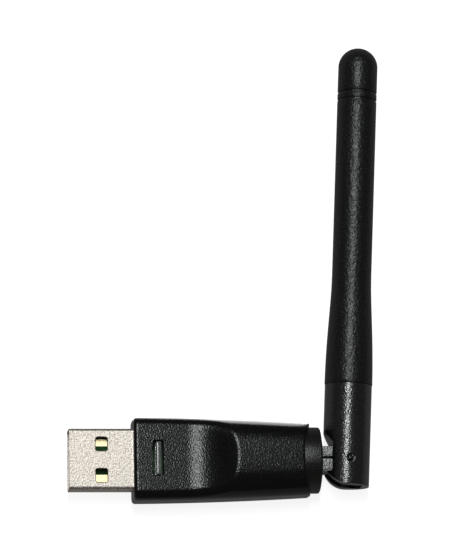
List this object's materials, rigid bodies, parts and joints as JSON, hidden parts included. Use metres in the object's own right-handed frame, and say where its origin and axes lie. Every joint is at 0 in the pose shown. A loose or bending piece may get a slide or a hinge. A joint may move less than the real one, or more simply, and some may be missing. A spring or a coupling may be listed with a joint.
{
  "type": "usb wifi adapter",
  "caption": "Plug-in wireless network adapter with a stepped plastic case and a rod antenna that swivels about the case's long axis and folds at a pinned knuckle.",
  "frame": {"origin": "centre of the flat rest face under the case's thick end", "axes": "+X along the case from the USB plug to the antenna hinge; +Y along the antenna at rest; +Z out of the case's front face"},
  "size_m": [0.0619, 0.0903, 0.013],
  "materials": {
    "case_black": "fine spark-eroded texture, satin black",
    "plug_nickel": "bead-blasted nickel plate, warm and bright",
    "spacer_black": "moulded black",
    "board_green": "green solder mask on glass-epoxy",
    "contact_gold": "gold flash",
    "light_pipe_clear": "smoky clear, polished",
    "led_white": "moulded white with a clear lens",
    "chip_black": "moulded epoxy",
    "can_steel": "satin steel can",
    "capacitor_tan": "fired ceramic with tinned ends",
    "solder_tin": "bright tin",
    "coax_jacket": "smooth fluoropolymer jacket",
    "washer_steel": "spring steel",
    "collar_grey": "satin warm black",
    "knuckle_dark": "semi-gloss moulded black with a fine sparkle",
    "sleeve_black": "semi-gloss moulded black with a fine sparkle",
    "pin_steel": "turned steel",
    "sheath_elastomer": "soft-touch moulded elastomer, finely mottled",
    "brass_tube": "drawn brass",
    "wire_copper": "tinned copper wire",
    "shrink_black": "heat-shrink tube"
  },
  "bodies": {
    "housing": {"front_cover": "case_black", "back_cover": "case_black", "plug_shell": "plug_nickel", "plug_spacer": "spacer_black", "main_board": "board_green", "contact_pads": "contact_gold", "light_pipe": "light_pipe_clear", "status_led": "led_white", "wifi_chip": "chip_black", "crystal": "can_steel", "regulator": "chip_black", "capacitors": "capacitor_tan", "resistors": "chip_black", "coax_solder": "solder_tin", "coax_body": "coax_jacket", "friction_washer": "washer_steel"},
    "knuckle": {"swivel_collar": "collar_grey", "tongue_half_left": "knuckle_dark", "tongue_half_right": "knuckle_dark", "coax_knuckle": "coax_jacket"},
    "antenna": {"antenna_sleeve": "sleeve_black", "hinge_pin": "pin_steel", "antenna_sheath": "sheath_elastomer", "coax_antenna": "coax_jacket", "choke_tube": "brass_tube", "radiator_wire": "wire_copper", "heat_shrink": "shrink_black"}
  },
  "joints": [
    {"name": "swivel", "type": "hinge", "parent": "housing", "child": "knuckle", "pos_m": [0.0064, 0, 0.0065], "axis": [1, 0, 0], "range_deg": [-90, 90]},
    {"name": "fold", "type": "hinge", "parent": "knuckle", "child": "antenna", "pos_m": [0.01558, 0, 0.0065], "axis": [0, 0, 1], "range_deg": [-87.2, 2.8]}
  ]
}
